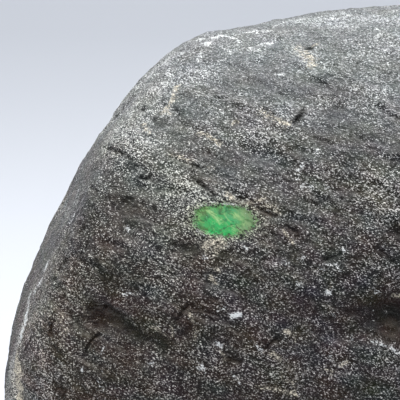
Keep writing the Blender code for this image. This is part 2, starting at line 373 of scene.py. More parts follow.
        (22, 0.45, 131, 264, 142, 282), (13, 1, 186, 305, 176, 319), (20, 0.6, 188, 305, 208, 312, 221, 316),
        (16, 0.9, 184, 332, 190, 326), (22, 0.5, 196, 336, 224, 340), (14, 0.9, 225, 358, 240, 360),
        (12, 0.8, 262, 349, 279, 337), (11, 0.8, 376, 247, 393, 261), (13, 0.8, 324, 258, 338, 255),
        (12, 0.7, 340, 276, 347, 273), (13, 0.7, 321, 317, 331, 318), (14, 1.6, 51, 324, 52, 334),
        (8, 1.4, 99, 334, 93, 338, 88, 345, 84, 354), (7, 1.2, 31, 338, 28, 343, 25, 349),
        (11, 1.2, 54, 345, 58, 354), (22, 0.7, 57, 386, 62, 392), (18, 0.6, 34, 388, 37, 394),
        (14, 0.7, 222, 254, 228, 256), (3, 1.2, 235, 226, 240, 230, 245, 234, 251, 236),
        (32, 0.5, 332, 113, 342, 113), (30, 0.4, 318, 84, 336, 88), (26, 0.3, 252, 80, 262, 84),
        (50, 0.3, 300, 212, 330, 208), (120, 0.25, 330, 230, 390, 244),
        (130, 0.22, 380, 352, 340, 376, 310, 392), (90, 0.25, 250, 276, 300, 290),
        (90, 0.3, 290, 316, 340, 304, 372, 320), (12, 0.6, 180, 215, 186, 217),
        (14, 0.6, 144, 223, 148, 224), (14, 0.6, 157, 189, 160, 191),
    ],
    # pale blooms of grain; the ones along the rims are a painted sheen of light
    "bloomAndRimSheen": [
        (80, 1, 112, 130, 128, 138, 146, 152), (90, 0.9, 134, 106, 150, 92, 172, 78, 196, 72),
        (60, 1.6, 7, 396, 10, 370, 18, 340, 24, 320), (40, 0.5, 36, 296, 46, 272, 66, 226, 80, 190),
        (44, 1, 158, 166, 176, 180, 192, 192, 208, 201), (60, 0.75, 150, 172, 168, 190, 188, 205),
        (70, 0.6, 145, 78, 158, 84, 152, 100, 130, 118), (90, 0.3, 172, 98, 200, 92),
        (60, 0.3, 150, 240, 176, 236), (40, 0.35, 212, 196, 240, 190, 262, 196),
        (60, 0.45, 260, 116, 284, 122, 290, 132), (60, 0.3, 200, 132, 250, 148),
        (70, 0.75, 296, 20, 350, 20, 402, 18), (90, 0.5, 370, 50, 396, 46), (70, 0.45, 366, 84, 384, 92),
        (70, 0.4, 200, 46, 250, 50), (60, 0.4, 300, 50, 314, 60), (60, 0.35, 40, 300, 32, 330, 30, 360),
        (60, 0.3, 150, 280, 176, 262, 160, 290), (50, 0.35, 300, 170, 312, 186),
        (55, 1.2, 102, 128, 118, 106, 140, 82, 166, 60), (60, 0.7, 162, 110, 164, 66),
        (50, 0.3, 262, 208, 268, 216), (60, 2.2, 9, 372, 14, 396), (60, 0.75, 250, 134, 276, 140),
        (80, 0.75, 382, 184, 394, 208), (80, 0.5, 156, 164, 188, 186), (130, 0.6, 34, 290, 40, 340, 34, 394),
        (80, 0.4, 284, 356, 294, 386), (60, 0.45, 226, 360, 240, 372), (60, 0.35, 382, 104, 392, 116),
        (60, 0.35, 190, 40, 240, 36, 290, 34), (60, 0.3, 306, 234, 318, 242), (60, 0.6, 160, 258, 166, 268),
        (60, 0.3, 256, 258, 268, 266), (60, 0.4, 156, 384, 166, 392), (60, 0.9, 158, 58, 172, 66),
        (50, 1.15, 134, 84, 142, 92), (60, 0.8, 154, 182, 170, 192), (60, 0.45, 354, 108, 372, 114),
        (60, 0.4, 380, 358, 396, 364), (60, 0.8, 182, 182, 194, 192), (50, 0.5, 57, 206, 66, 218),
        (70, 0.55, 104, 110, 120, 112, 160, 114), (60, 0.35, 232, 112, 240, 110),
        (60, 0.45, 284, 112, 312, 112), (60, 0.6, 332, 358, 342, 366), (60, 0.25, 210, 356, 240, 364),
        (50, 0.3, 60, 334, 64, 342), (60, 0.4, 38, 284, 66, 290), (60, 0.35, 158, 108, 168, 116),
        (22, 0.8, 194, 206, 208, 198, 232, 197, 252, 204, 260, 215),
        (22, 0.7, 193, 226, 203, 236, 222, 242, 244, 239, 257, 228),
    ],
    "shade": [
        (120, 1.3, 88, 184, 100, 212, 100, 240), (80, 0.5, 80, 184, 92, 192), (70, 0.85, 354, 134, 370, 142),
        (80, 0.95, 376, 334, 396, 340), (50, 0.5, 34, 256, 40, 268), (90, 1.4, 106, 206, 122, 220),
        (70, 0.75, 132, 158, 144, 168, 160, 166), (60, 0.85, 206, 58, 220, 66), (60, 0.3, 282, 84, 294, 90),
        (70, 0.75, 256, 234, 270, 240), (100, 0.48, 150, 276, 186, 276, 236, 268, 236, 290, 150, 294),
        (90, 0.55, 306, 272, 350, 270, 350, 290), (70, 0.5, 330, 384, 344, 390),
        (60, 0.3, 282, 334, 296, 342), (60, 0.28, 134, 338, 170, 342), (60, 0.3, 56, 308, 68, 318),
        (60, 0.35, 58, 232, 68, 244), (90, 0.48, 124, 240, 142, 256), (80, 1.45, 228, 160, 284, 164),
        (70, 0.75, 258, 188, 292, 186), (70, 0.2, 290, 162, 310, 160),
        (70, 0.36, 180, 86, 188, 112, 180, 138), (80, 0.4, 236, 88, 266, 92, 262, 114),
        (70, 0.22, 134, 140, 150, 150, 140, 164), (90, 1, 340, 136, 366, 140, 372, 160, 392, 162),
        (90, 0.45, 356, 236, 366, 262, 392, 264), (90, 0.72, 330, 284, 366, 288),
        (80, 0.6, 184, 262, 186, 288, 162, 290, 164, 312), (80, 0.48, 208, 312, 240, 312),
        (70, 0.65, 82, 334, 92, 340), (80, 0.9, 336, 338, 362, 336, 392, 338),
        (80, 0.35, 110, 362, 164, 362), (70, 0.26, 356, 362, 370, 364), (80, 0.55, 188, 388, 214, 388),
        (70, 0.62, 256, 386, 268, 388), (70, 0.45, 58, 358, 66, 366), (60, 0.5, 184, 360, 192, 366),
        (60, 0.38, 256, 358, 268, 364),
    ],
    "rust": [
        (150, 1, 70, 290, 56, 340, 70, 384), (140, 1.1, 22, 310, 28, 350, 46, 396),
        (120, 0.5, 150, 390, 220, 392, 330, 392), (70, 0.9, 110, 310, 104, 318),
        (120, 0.7, 110, 350, 150, 330, 190, 318), (150, 0.6, 120, 370, 180, 380, 230, 350),
        (60, 0.8, 120, 195, 130, 205), (60, 0.5, 94, 215, 100, 238), (24, 0.5, 194, 137, 206, 134, 222, 146),
        (20, 0.5, 170, 150, 190, 158, 206, 168), (20, 0.5, 205, 182, 214, 192),
        (20, 0.8, 258, 213, 276, 213), (30, 0.6, 290, 228, 300, 238), (60, 0.5, 200, 262, 230, 262),
        (60, 0.8, 256, 384, 300, 396), (50, 0.8, 380, 304, 402, 300),
        (200, 0.55, 262, 330, 320, 352, 384, 326),
    ],
    "blue": [
        (180, 0.9, 330, 330, 360, 362, 402, 380), (120, 0.7, 250, 300, 310, 310, 350, 280),
        (80, 0.6, 80, 180, 90, 226), (120, 0.3, 180, 50, 230, 70, 250, 100), (120, 0.2, 330, 110, 360, 130),
        (90, 0.3, 180, 362, 250, 372), (150, 0.5, 340, 260, 392, 284, 350, 304),
    ],
    "tinge": [
        (90, 0.7, 168, 184, 190, 202, 206, 214), (80, 0.7, 160, 236, 190, 240, 214, 242),
        (40, 0.8, 200, 240, 222, 241), (90, 0.5, 76, 280, 84, 300),
        (220, 0.5, 114, 134, 150, 180, 190, 230, 150, 240), (260, 0.5, 60, 290, 110, 340, 170, 380),
        (60, 0.6, 10, 376, 24, 396),
    ],
    # where the painted light from above is taken off the skin
    "topLightOff": [
        (85, 1, 110, 138, 112, 156, 108, 180, 100, 206, 86, 236, 76, 258),
    ],
    "jadePale": [
        (9, 0.9, 205, 208, 209, 211, 214, 217, 220, 222), (13, 0.6, 208, 210, 212, 214),
        (4, 0.7, 223, 213, 228, 220, 232, 224, 236, 227), (24, 0.55, 237, 215, 245, 217, 246, 226),
        (8, 0.7, 241, 219, 243, 222), (9, 0.6, 195, 219, 200, 216), (16, 0.6, 232, 227, 238, 231, 231, 234),
        (5, 0.5, 212, 222, 213, 232), (6, 0.6, 208, 234, 217, 236, 226, 236),
    ],
    "jadeFaded": [
        (30, 1.25, 250, 211, 255, 219, 252, 229, 244, 236), (14, 0.6, 236, 204, 246, 208),
        (12, 0.5, 193, 214, 195, 226, 202, 234),
    ],
    "jadeVivid": [
        (32, 1.7, 214, 225, 221, 230, 228, 230), (16, 0.5, 205, 220, 213, 226),
        (14, 0.5, 216, 208, 226, 212), (12, 0.5, 230, 212, 236, 217),
    ],
    "jadeOlive": [
        (10, 1.5, 196, 212, 203, 212), (9, 1.1, 199, 207, 206, 207), (9, 0.9, 216, 206, 221, 209),
        (7, 0.8, 202, 228, 206, 229), (6, 0.9, 228, 235, 233, 236), (9, 0.5, 240, 209, 250, 213),
        (4, 0.5, 209, 212, 214, 218), (6, 0.8, 240, 231, 246, 234),
    ],
}
unseenMarks = {  # count, lengths, widths, strengths
    "crack": (14, (0.012, 0.045), (0.0016, 0.0024), (0.0008, 0.0016)),
    "dent": (34, (0.002, 0.020), (0.0030, 0.0080), (0.0004, 0.0014)),
    "cream": (26, (0.002, 0.020), (0.0014, 0.0034), (0.5, 0.9)),
    "chalk": (60, (0.001, 0.016), (0.0010, 0.0018), (0.6, 1.0)),
    "sootAndShade": (34, (0.002, 0.024), (0.0026, 0.0070), (0.3, 0.9)),
    "bloomAndRimSheen": (26, (0.010, 0.080), (0.0080, 0.0180), (0.2, 0.7)),
    "shade": (16, (0.010, 0.060), (0.0080, 0.0180), (0.2, 0.5)),
    "rust": (14, (0.010, 0.080), (0.0120, 0.0240), (0.3, 0.8)),
    "blue": (10, (0.010, 0.060), (0.0120, 0.0240), (0.3, 0.8)),
}
tenths = 10000  # of a millimetre, in a metre
shapedKinds = ("crack", "dent")
paintKinds = [kind for kind in seenMarks if kind not in shapedKinds]


def seenPaths(kind, tree):  # the seen marks of a kind as path, width, strength
    marks = []
    for width, strength, *line in seenMarks[kind]:
        path = alongPixels(list(zip(line[::2], line[1::2])), tree)
        marks.append((path, width / tenths, strength / tenths if kind in shapedKinds else strength))
    return marks


def everyPath(kind):  # the seen marks of a kind and the unseen ones after them
    marks = seenPaths(kind, cadTree)
    count, *spans = unseenMarks.get(kind, (0,))
    for turn in range(count):
        path = wanderPath(random.uniform(*spans[0]))
        marks.append((path, random.uniform(*spans[1]), random.uniform(*spans[2])))
    return marks


def ontoSkin(kind, tree):  # the same marks on the skin as it has become
    again = seenPaths(kind, tree)
    for path, width, strength in markPaths[kind][len(again):]:
        again.append((np.array([tree.find_nearest(spot)[0] for spot in path]), width, strength))
    return again


markPaths = {kind: everyPath(kind) for kind in seenMarks}
print("marks laid out")

# the stone's own piece: a merged copy of the cad solid with an even, finer skin

stoneSkin = {
    "voxel": 0.0030,
    "smoothTurns": 12,
    "splitWhere": (-0.02, 0.2),  # how far the skin faces the camera where it is split once, and where again
    "margin": 6,  # pixels round the picture that are fine too
    "crackReach": 0.0013,
    "swells": ((0.018, 0.0008), (0.008, 0.0004)),  # size, height
    "scales": (0.0034, 0.00020),  # fine relief, only where the skin is fine
    "scaled": 0.1,  # how far the skin faces the camera where it has scales
    "layerTilt": (-8, 20),  # of the rock's layers about x and y, degrees
    "ledges": ((0.0095, 0.00085), (0.0043, 0.00048)),  # spacing, height
    "ledgeRise": 0.86,  # share of a ledge that rises before it breaks off
    "ledgeBends": ((0.30, 1.6), (0.12, 0.5)),  # reach and size of its bends, in spacings
    "ledgePatches": (2.4, 1.9),  # how sharply ledges come and go, and the size of it in spacings
    "lowLedges": (0.45, 0.2),  # turned away by this they get lower, down to this share
    "wander": ((0.0030, 0.0007), (0.0012, 0.0003)),  # size, reach of the bends in cracks and marks
    "paintWander": 0.5,  # share of it in paint
    "sharpness": {"dent": 1.0, "crack": 2.0},
    "markEnd": 0.06,  # share of a long mark that its ends take
    "longMark": 12,  # points from which on a mark fades at its ends
    "wideMark": 0.008,  # width from which on a mark is even
    "uneven": (0.9, 0.6, 0.0035),  # depth, by how much it varies, size
    "markReach": 2.1,  # widths
    "skyward": (0.34, 0.54),  # how far it faces up where the painted light from above begins, and how much further for all
}


def copyStone():
    stone = bpy.data.objects.new("jadeBoulder", cadStone.data.copy())
    stone.data.name = "jadeBoulder"
    stone.data.materials.clear()
    bpy.context.scene.collection.objects.link(stone)
    useAlone(stone)
    bpy.ops.object.mode_set(mode="EDIT")
    bpy.ops.mesh.select_all(action="SELECT")
    bpy.ops.mesh.remove_doubles(threshold=0.00001)
    bpy.ops.object.mode_set(mode="OBJECT")
    pickFaces(stone, roundWindow(faceCentres(stone), "closedTo"))
    bpy.ops.mesh.dissolve_faces()  # the window is closed here and ground again in the fine skin
    bpy.ops.mesh.quads_convert_to_tris()
    bpy.ops.object.mode_set(mode="OBJECT")
    return stone


def seenFaces(stone, least):  # the faces in the picture that face the camera by at least this much
    centres, normals = faceCentres(stone), faceNormals(stone)
    px, py = pictureSpots(centres)
    toCamera = np.array(shotPlace) - centres
    toCamera /= np.linalg.norm(toCamera, axis=1)[:, None]
    low, high = -stoneSkin["margin"], shot["pictureSide"] + stoneSkin["margin"]
    return ((normals * toCamera).sum(1) > least) & (px > low) & (px < high) & (py > low) & (py < high)


def crackFaces(stone):  # the faces at the cracks and at the window
    centres = faceCentres(stone)
    close = roundWindow(centres, "fineTo")
    for path, width, depth in markPaths["crack"]:
        near, gap, share = nearPath(centres, path, max(stoneSkin["crackReach"], width))
        close[near] = True
    return close


def splitFaces(stone, wanted):
    pickFaces(stone, wanted)
    bpy.ops.mesh.subdivide(number_cuts=1, smoothness=0.0)
    bpy.ops.object.mode_set(mode="OBJECT")


def refineStone(stone):
    applyModifier(stone, "even skin", "REMESH", mode="VOXEL", voxel_size=stoneSkin["voxel"],
                  use_smooth_shade=True)
    applyModifier(stone, "worn smooth", "SMOOTH", factor=0.5, iterations=stoneSkin["smoothTurns"])
    for least in stoneSkin["splitWhere"]:
        splitFaces(stone, seenFaces(stone, least) | crackFaces(stone))
    splitFaces(stone, seenFaces(stone, 0.0) & crackFaces(stone))
    bpy.ops.object.mode_set(mode="EDIT")
    bpy.ops.mesh.select_all(action="SELECT")
    bpy.ops.mesh.quads_convert_to_tris()
    bpy.ops.object.mode_set(mode="OBJECT")
    print("skin refined:", len(stone.data.polygons), "triangles")


def roughenStone(stone):
    for number, (size, height) in enumerate(stoneSkin["swells"]):
        clouds = bpy.data.textures.new(f"swell{number}", "CLOUDS")
        clouds.noise_scale = size
        clouds.noise_depth = 3
        applyModifier(stone, f"swell{number}", "DISPLACE", texture=clouds, texture_coords="LOCAL",
                      strength=height * 2, mid_level=0.5)
    points, normals = readPoints(stone), readNormals(stone)
    px, py = pictureSpots(points)
    side = shot["pictureSide"]
    front = (normals @ -np.array(shotForward)) > stoneSkin["scaled"]
    seen = np.where(front & (px > 0) & (px < side) & (py > 0) & (py < side))[0]
    size, height = stoneSkin["scales"]
    scales = 1 - abs(fineNoise(points[seen], size)) * 2 + 0.5 * fineNoise(points[seen], size * 0.5)
    points[seen] += normals[seen] * (height * scales)[:, None]
    points += normals * layerLedges(points, normals)[:, None]
    writePoints(stone, points)


def layerLedges(points, normals):  # the layers dip to the right and end in small ragged steps
    tiltX, tiltY = [math.radians(turn) for turn in stoneSkin["layerTilt"]]
    across = points @ np.array((math.sin(tiltY), math.sin(tiltX), math.cos(tiltY)))
    rising, (sharp, patch) = stoneSkin["ledgeRise"], stoneSkin["ledgePatches"]
    relief = np.zeros(len(points))
    for spacing, height in stoneSkin["ledges"]:
        bent = across
        for reach, size in stoneSkin["ledgeBends"]:
            bent = bent + reach * spacing * fineNoise(points, spacing * size)
        saw = bent / spacing % 1
        plate = np.where(saw < rising, saw / rising, (1 - saw) / (1 - rising)) - 0.5
        relief += height * plate * np.clip(sharp * fineNoise(points + spacing, spacing * patch), -1, 1)
    turned, least = stoneSkin["lowLedges"]
    return relief * np.clip(abs(normals @ np.array(shotForward)) / turned, least, 1)


def bentPoints(points, share):  # moved about, so that what is drawn through them turns out ragged
    for size, reach in stoneSkin["wander"]:
        drift = [fineNoise(points + 0.1 * axis, size) for axis in (1, 2, 3)]
        points = points + reach * share * np.array(drift).T
    return points


def pressMarks(stone, kind, paths):
    points, normals = readPoints(stone), readNormals(stone)
    drawn = bentPoints(points, 1)
    sharpness, end = stoneSkin["sharpness"][kind], stoneSkin["markEnd"]
    evenly, unevenly, size = stoneSkin["uneven"]
    for path, width, depth in paths:
        near, gap, share = nearPath(drawn, path, width * stoneSkin["markReach"])
        fade = uneven = 1
        if len(path) > stoneSkin["longMark"]:
            fade = np.sin(np.clip(share, end, 1 - end) * math.pi) ** 0.5
        if width < stoneSkin["wideMark"]:
            uneven = evenly + unevenly * fineNoise(drawn[near], size)
        pressed = depth * fade * uneven * np.exp(-(gap / width * sharpness) ** 2)
        points[near] -= normals[near] * pressed[:, None]
    writePoints(stone, points)


def grindWindow(stone):
    points = readPoints(stone)
    near = np.where(roundWindow(points, "groundTo"))[0]
    oval, rise = [values[near] for values in windowOval(points)]
    chip = groundWindow["chipSize"]
    chips = fineNoise(points[near], chip) + fineNoise(points[near], chip * 0.3)
    ragged = oval + groundWindow["chips"] * chips
    slope = np.clip((ragged - 1) / groundWindow["bevel"] + 1, 0, 1)  # 0 on the floor, 1 at the rim
    slope = slope * slope * (3 - 2 * slope)
    ground = -groundWindow["depth"] * (1 - slope) + rise * slope
    ground = np.where(ragged < 1, np.minimum(ground, rise), rise)
    points[near] += np.outer(ground - rise, np.array(windowOut))
    writePoints(stone, points)
    inward = np.zeros(len(points))  # 1 on the rim of the window, more inside it
    inward[near] = 2 - ragged
    return inward


def skywardOf(stone):  # 1 where the skin faces the sky, which the material paints lighter as light from above
    start, rest = stoneSkin["skyward"]
    return np.clip((readNormals(stone)[:, 2] - start) / rest, 0, 1)


def paintStone(stone):
    points = readPoints(stone)
    drawn = bentPoints(points, stoneSkin["paintWander"])
    skinTree = treeOf(stone)
    for kind in paintKinds:
        layer = np.zeros(len(points))
        for path, width, strength in ontoSkin(kind, skinTree):
            close, gap, share = nearPath(drawn, path, width * 2)
            layer[close] = np.maximum(layer[close], strength * np.exp(-(gap / width) ** 2))
        writeLayer(stone, kind, layer)


stone = copyStone()
refineStone(stone)
smoothSkyward = skywardOf(stone)
roughenStone(stone)
pressMarks(stone, "dent", markPaths["dent"])
pressMarks(stone, "crack", ontoSkin("crack", treeOf(stone)))
inward = grindWindow(stone)
points = readPoints(stone)
points[:, 2] = np.maximum(points[:, 2], 0)  # nothing reaches below the worn flat
writePoints(stone, points)
paintStone(stone)
writeLayer(stone, "skyward", skywardOf(stone))
writeLayer(stone, "windowInward", inward)
writeLayer(stone, "skyTint", smoothSkyward)
useAlone(stone)
bpy.ops.object.shade_smooth()
print("stone shaped:", len(stone.data.polygons), "triangles")

# nodes for the skin's material

def newNode(tree, kind, settings=None, **values):
    node = tree.nodes.new(kind)
    for setting, value in (settings or {}).items():
        setattr(node, setting, value)
    for socket, value in values.items():
        feed(tree, node.inputs[socket.replace("_", " ")], value)
    return node


def feed(tree, socket, value):  # a value or another node's output
    if isinstance(value, bpy.types.NodeSocket):
        tree.links.new(value, socket)
    else:
        socket.default_value = value


def feedAll(tree, node, values):
    for socket, value in zip(node.inputs, values):
        feed(tree, socket, value)
    return node.outputs[0]


def calc(tree, operation, *values, clamp=False):
    node = newNode(tree, "ShaderNodeMath", {"operation": operation, "use_clamp": clamp})
    return feedAll(tree, node, values)


def product(tree, first, second, clamp=False):
    return calc(tree, "MULTIPLY", first, second, clamp=clamp)


def vectorCalc(tree, operation, *values):
    return feedAll(tree, newNode(tree, "ShaderNodeVectorMath", {"operation": operation}), values)


def weighed(tree, start, weights, parts):  # start plus each named part times its weight
    total = start
    for name, weight in weights.items():
        total = calc(tree, "MULTIPLY_ADD", parts[name], weight, total)
    return total


def blendColours(tree, factor, first, second):
    node = newNode(tree, "ShaderNodeMix", {"data_type": "RGBA"})
    sockets = {socket.identifier: socket for socket in node.inputs}
    feed(tree, sockets["Factor_Float"], factor)
    feed(tree, sockets["A_Color"], first)
    feed(tree, sockets["B_Color"], second)
    return [socket for socket in node.outputs if socket.identifier == "Result_Color"][0]


def layOn(tree, colour, coats):  # colours laid over one another, each as far as its factor says
    for factor, coat in coats:
        colour = blendColours(tree, factor, colour, coat)
    return colour


def blendValues(tree, factor, first, second):
    node = newNode(tree, "ShaderNodeMix", {"data_type": "FLOAT"})
    feed(tree, node.inputs[0], factor)
    feed(tree, node.inputs[2], first)
    feed(tree, node.inputs[3], second)
    return node.outputs[0]


def ramp(tree, value, low, high):  # 0 at low, 1 at high
    node = newNode(tree, "ShaderNodeMapRange", {"interpolation_type": "SMOOTHSTEP"}, Value=value)
    node.inputs["From Min"].default_value = low
    node.inputs["From Max"].default_value = high
    return node.outputs["Result"]


def noiseAt(tree, place, sizeMm, detail=2.0, rough=0.55, warp=0.0, settings=None, output="Fac"):
    node = newNode(tree, "ShaderNodeTexNoise", settings, Vector=place, Scale=1000 / sizeMm,
                   Detail=detail, Roughness=rough, Distortion=warp)
    return node.outputs[output]


def layerOf(tree, name):
    return newNode(tree, "ShaderNodeAttribute", {"attribute_name": name}).outputs["Fac"]


def turnedPlace(tree, place, turn, stretch):  # turned by degrees and stretched along its own axes
    node = newNode(tree, "ShaderNodeMapping", {"vector_type": "TEXTURE"}, Vector=place)
    node.inputs["Rotation"].default_value = [math.radians(angle) for angle in turn]
    node.inputs["Scale"].default_value = stretch
    return node.outputs["Vector"]


def groupNode(tree, group, **values):
    node = tree.nodes.new("ShaderNodeGroup")
    node.node_tree = group
    for socket, value in values.items():
        feed(tree, node.inputs[socket.replace("_", " ")], value)
    return node


def newGroup(name, inputs, outputs):
    group = bpy.data.node_groups.new(name, "ShaderNodeTree")
    for way, sockets in (("INPUT", inputs), ("OUTPUT", outputs)):
        for socket, kind in sockets.items():
            group.interface.new_socket(socket, in_out=way, socket_type=kind)
    return group, group.nodes.new("NodeGroupInput"), group.nodes.new("NodeGroupOutput")


number, vector = "NodeSocketFloat", "NodeSocketVector"
grainShape = {
    "detail": 1.0,
    "detailStrength": 1.20,
    "warp": 0.15,
    "crystals": 2.1,  # across a grain
    "crystalTone": (0.90, -0.45),  # random from crystal to crystal, around 0
    "crystalEdge": (-0.20, 0.10),  # darker towards its edge
    "sharpness": -0.6,
}
speckShape = {
    "size": (0.20, 0.10),  # by how much it varies, and the least, in cells
    "edge": 14.0,
}


def buildGrainGroup():  # pale grains on a dark ground, from none to all as Coverage goes from -3 to 3
    group, given, made = newGroup(
        "crystalGrain",
        {"Vector": vector, "Grain Mm": number, "Spread": number, "Coverage": number},
        {"Tone": number, "Height": number},
    )
    scale = calc(group, "DIVIDE", 1000.0, given.outputs["Grain Mm"])
    grain = newNode(group, "ShaderNodeTexNoise", Vector=given.outputs["Vector"], Scale=scale,
                    Detail=grainShape["detail"], Roughness=grainShape["detailStrength"],
                    Distortion=grainShape["warp"])
    cells = newNode(group, "ShaderNodeTexVoronoi", Vector=given.outputs["Vector"],
                    Scale=product(group, scale, grainShape["crystals"]), Randomness=1.0)
    draw = newNode(group, "ShaderNodeSeparateColor", Color=cells.outputs["Color"])
    fall, top = grainShape["crystalEdge"]
    crystal = calc(group, "MULTIPLY_ADD", draw.outputs["Red"], *grainShape["crystalTone"])
    crystal = calc(group, "MULTIPLY_ADD", cells.outputs["Distance"], fall, calc(group, "ADD", crystal, top))
    centred = calc(group, "ADD", calc(group, "SUBTRACT", grain.outputs["Fac"], 0.5), crystal)
    odds = calc(group, "MULTIPLY_ADD", centred, given.outputs["Spread"], given.outputs["Coverage"])
    falling = calc(group, "EXPONENT", product(group, odds, grainShape["sharpness"]))
    tone = calc(group, "DIVIDE", 1.0, calc(group, "ADD", falling, 1.0))
    group.links.new(tone, made.inputs["Tone"])
    group.links.new(centred, made.inputs["Height"])
    return group


def buildSpeckGroup():  # round specks of random size, one in some of the cells
    group, given, made = newGroup(
        "loneSpecks", {"Vector": vector, "Cell Mm": number, "Share": number}, {"Mask": number}
    )
    scale = calc(group, "DIVIDE", 1000.0, given.outputs["Cell Mm"])
    cells = newNode(group, "ShaderNodeTexVoronoi", Vector=given.outputs["Vector"], Scale=scale,
                    Randomness=1.0)
    pick = newNode(group, "ShaderNodeSeparateColor", Color=cells.outputs["Color"])
    size = calc(group, "MULTIPLY_ADD", pick.outputs["Green"], *speckShape["size"])
    inside = calc(group, "SUBTRACT", size, cells.outputs["Distance"])
    edge = product(group, inside, speckShape["edge"], clamp=True)
    chosen = calc(group, "LESS_THAN", pick.outputs["Red"], given.outputs["Share"])
    group.links.new(product(group, edge, chosen), made.inputs["Mask"])
    return group


# the rind and the jade in its window

rindLook = {
    "ground": 0.0080,  # brightness of the dark ground
    "topLitGround": 0.075,  # and where it faces the sky, painted lighter as light from above
    "grain": 0.80,  # and of the pale grains
    "hueNeutral": (1.012, 1.000, 0.966, 1),
    "hueNeutralSky": (0.985, 1.000, 1.008, 1),
    "hueDark": (1.150, 0.985, 0.915, 1),
    "hueLight": (0.985, 1.000, 0.780, 1),
    "hueGrey": (1.002, 1.000, 0.855, 1),
    "hueWarm": (1.290, 0.960, 0.780, 1),
    "hueSky": (0.875, 1.000, 0.980, 1),
    "hueBlue": (1.100, 0.985, 1.000, 1),
    "hueTinged": (1.000, 1.020, 0.760, 1),
    "hueCream": (1.100, 1.000, 0.760, 1),
    "tintedAt": 0.040,  # the brightness at which these hues show as they are
    "tintFade": -0.65,
    "tintMost": 3.0,
    "stainMm": 8.0,
    "stain": (0.90, 0.30, 0.95),  # how far faint stains turn red, green and blue
    "clean": (0.55, 0.85, 0.525),
    "chalk": (0.850, 0.870, 0.865, 1),
    "cream": (0.760, 0.690, 0.560, 1),
    "grainMm": 0.68,
    "spread": (9.0, 11.7),  # where the grain is faint and where it is strong
    "contrast": 6.5,  # logarithm of bright over dark
    "coverage": -1.03,
    "evenHeight": 0.17,
    "loosenPer": 900.0,  # scale of the wobble in the specks' places
    "loosen": 0.0011,
    "specks": (2.0, 0.30),  # cell in millimetres, share of the cells
    "pits": (2.9, 0.45),
    "topLightCut": -0.85,  # how much of the painted light from above the marked skin loses
    # the soot and the painted shade in the hollows darken the skin by this share
    "sootAndShadeDark": -0.35,
    "dustyPowder": -0.30,
    "crust": (0.50, 0.04),
    "fabric": ((-6, 17, 0), (1.25, 1.90, 0.85)),  # turn in degrees, stretch
    "layers": ((-10, 22, 0), (2.4, 2.4, 0.9)),
    "roughness": 0.62,
    "dust": 0.12,
    "dustRoughness": 0.22,
    "coatRoughness": 0.15,
    "specular": 0.14,
}
rindNoise = {  # size in millimetres, detail, its strength, warp
    "blotch": (7.0, 3.0, 0.65, 0.6),
    "patch": (26, 3.0, 0.6, 0.6),
    "strata": (2.6, 3.0, 0.7, 0.8),
    "ridges": (3.4, 3.0, 0.55, 0.5),
    "crumble": (0.9, 2.0, 0.9),
    "strong": (11, 2.0, 0.6),
    "tint": (12, 3.0, 0.65, 0.6),
    "grey": (7, 2.0),
}
rindEdges = {  # where each begins to show and where it is full
    "crevice": (1.15, 1.75),
    "chalk": (0.40, 0.90),
    "cream": (0.25, 0.95),
    "sootAndShade": (0.15, 0.95),
    "strong": (0.3, 0.7),
    "tint": (0.42, 0.66),
    "grey": (0.38, 0.62),
    "light": (-1.6, 0.8),
    "tinge": (0.60, 1.0),
    "whitest": (0.95, 1.20),
    "broken": (0.25, 0.75),
}
crumbled = {"chalk": 2.8, "cream": 2.2, "sootAndShade": 1.8}  # how ragged the edges of these marks are
rindWeights = {  # how much each part adds
    # painted light and shade in this sum: the shade marks are painted shade, the sky-facing skin is painted
    # lighter, the rim blooms are a painted sheen; raised skin is paler the higher it lies
    "weatheringAndPaintedLight": {"blotch": 1.8, "patch": 1.4, "bloomAndRimSheen": 1.36, "shade": -1.45, "raised": 7.0, "skyward": 0.86},
    "coverage": {
        # crevices and pits are painted darker, as shade in them
        "strata": 2.8, "cream": 1.9, "chalk": 2.4, "sootAndShade": -3.2, "specks": 1.2, "pits": -1.2, "crevice": -2.4,
    },
    # the sky-facing skin gets a painted haze of light from above, with less contrast
    "spread": {"skyward": -0.60, "bloomAndRimSheen": 0.34, "shade": 0.20, "topLightOff": 0.22, "raised": 1.5},
    "inward": {"grainHeight": 0.30, "strata": 0.35},
    "warmth": {"tint": 0.27, "rust": 1.35, "blue": -0.4},
    "powder": {"tone": 0.60, "whitest": 0.35},
    "roughness": {"tone": 0.10, "patch": 0.25},
    "height": {
        "grainHeight": 0.0010, "crevice": -0.00065, "pits": -0.00020, "specks": 0.00010, "blotch": 0.0014,
        "strata": 0.0020,
    },
}
rindShares = {
    "grey": 0.7, "blue": 0.8, "cleanSky": 0.6, "tinge": 0.6, "tinged": 0.6, "cream": 0.8, "broken": 0.6,
}
jadeLook = {
    "green": (0.030, 0.195, 0.046, 1),
    "teal": (0.045, 0.215, 0.095, 1),
    "vivid": (0.008, 0.270, 0.060, 1),
    "pale": (0.250, 0.410, 0.165, 1),
    "milky": (0.125, 0.265, 0.085, 1),
    "shade": (0.008, 0.045, 0.014, 1),
    "olive": (0.050, 0.095, 0.024, 1),
    "faded": (0.125, 0.195, 0.090, 1),
    "rim": (0.400, 0.440, 0.330, 1),
    "crack": (0.020, 0.026, 0.014, 1),
    "roughness": 0.34,
    "coat": 0.05,
    "veinHeight": 0.00008,
    "streaks": ((0, 40, 0), (3.0, 1.0, 0.8)),  # turn in degrees, stretch
    "mottleShare": 0.75,
    "milkShare": 0.9,
    "palest": (1.4, 3.2, -2.25),  # what its strokes and the veins add, and where it starts
}
jadeNoise = {"veins": (1.1, 4.0, 0.7, 0.6), "clouds": (3.0, 4.0, 0.7, 0.3), "mottle": (2.2, 3.0, 0.6, 0.6)}
